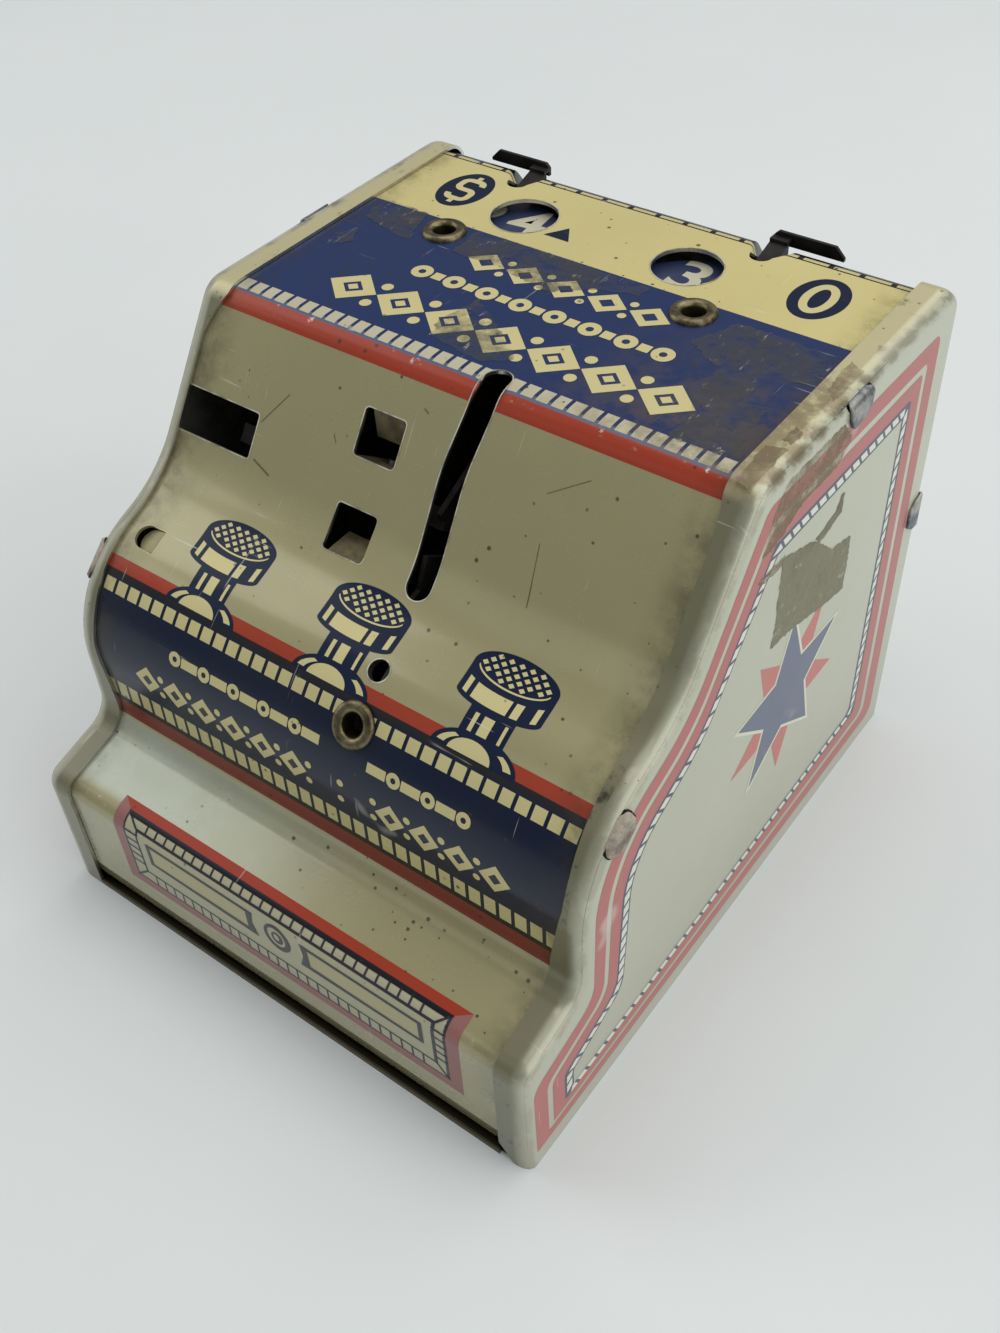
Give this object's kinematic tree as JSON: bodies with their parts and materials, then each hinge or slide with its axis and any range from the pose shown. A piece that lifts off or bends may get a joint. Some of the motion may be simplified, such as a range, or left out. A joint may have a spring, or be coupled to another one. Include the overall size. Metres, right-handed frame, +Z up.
{
  "type": "toy register bank",
  "caption": "Small tin coin bank shaped like a cash register, with a coin slot, numbered dials under windows, a coin lever that steps them and a trap door in the base.",
  "frame": {"origin": "middle of the footprint, on the surface that the bank stands on", "axes": "+Z up, +X to the right as seen from the front, +Y towards the back"},
  "size_m": [0.0644, 0.0734, 0.0586],
  "materials": {
    "printed_tin": "gloss varnish over print, worn",
    "side_tin": "gloss varnish over print, worn to metal at the edges",
    "dial_tin": "printed, semi-gloss",
    "bare_tin": "dull tinplate",
    "bare_steel": "plain steel",
    "eyelet_brass": "tarnished brass",
    "blued_steel": "blackened steel"
  },
  "bodies": {
    "case": {"body_wrap": "printed_tin", "left_side_panel": "side_tin", "right_side_panel": "side_tin", "base_plate": "bare_tin", "trap_hinge_pin": "bare_steel", "coin_chute": "bare_tin", "chute_eyelet": "eyelet_brass", "dime_eyelet": "eyelet_brass", "dollar_eyelet": "eyelet_brass", "dime_spacer": "bare_steel", "dollar_spacer": "bare_steel", "dime_washer": "bare_steel", "dollar_washer": "bare_steel", "dime_lock_spring": "blued_steel", "dollar_lock_spring": "blued_steel", "lever_pin": "bare_steel", "lever_spring": "bare_steel"},
    "lever": {"coin_lever": "bare_steel", "drive_pawl": "blued_steel", "pawl_rivet": "eyelet_brass"},
    "dime_wheel": {"dime_dial": "dial_tin", "dime_ratchet": "bare_steel", "carry_finger": "bare_steel"},
    "dollar_wheel": {"dollar_dial": "dial_tin", "dollar_star_wheel": "bare_steel"},
    "trap": {"trap_door": "bare_tin"}
  },
  "joints": [
    {"name": "coin_lever_rock", "type": "hinge", "parent": "case", "child": "lever", "pos_m": [-0.0059, -0.0057, 0.04581], "axis": [0, 0.5808, 0.8141], "range_deg": [0, 9], "stiffness_Nm_per_rad": 0.03, "springref_deg": -8.59, "deforming": ["lever_spring"]},
    {"name": "dime_dial_turn", "type": "hinge", "parent": "case", "child": "dime_wheel", "pos_m": [0.0127, 0.01905, 0.0561], "axis": [0, 0, 1], "continuous": true},
    {"name": "dollar_dial_turn", "type": "hinge", "parent": "case", "child": "dollar_wheel", "pos_m": [-0.01705, 0.01905, 0.0561], "axis": [0, 0, 1], "continuous": true},
    {"name": "trap_door_swing", "type": "hinge", "parent": "case", "child": "trap", "pos_m": [0, -0.01275, 0.0019], "axis": [-1, 0, 0], "range_deg": [0, 100], "deforming": ["dime_lock_spring", "dollar_lock_spring"]}
  ],
  "couplings": [
    {"joint": "dime_dial_turn", "follows": "coin_lever_rock", "ratio": -4}
  ]
}
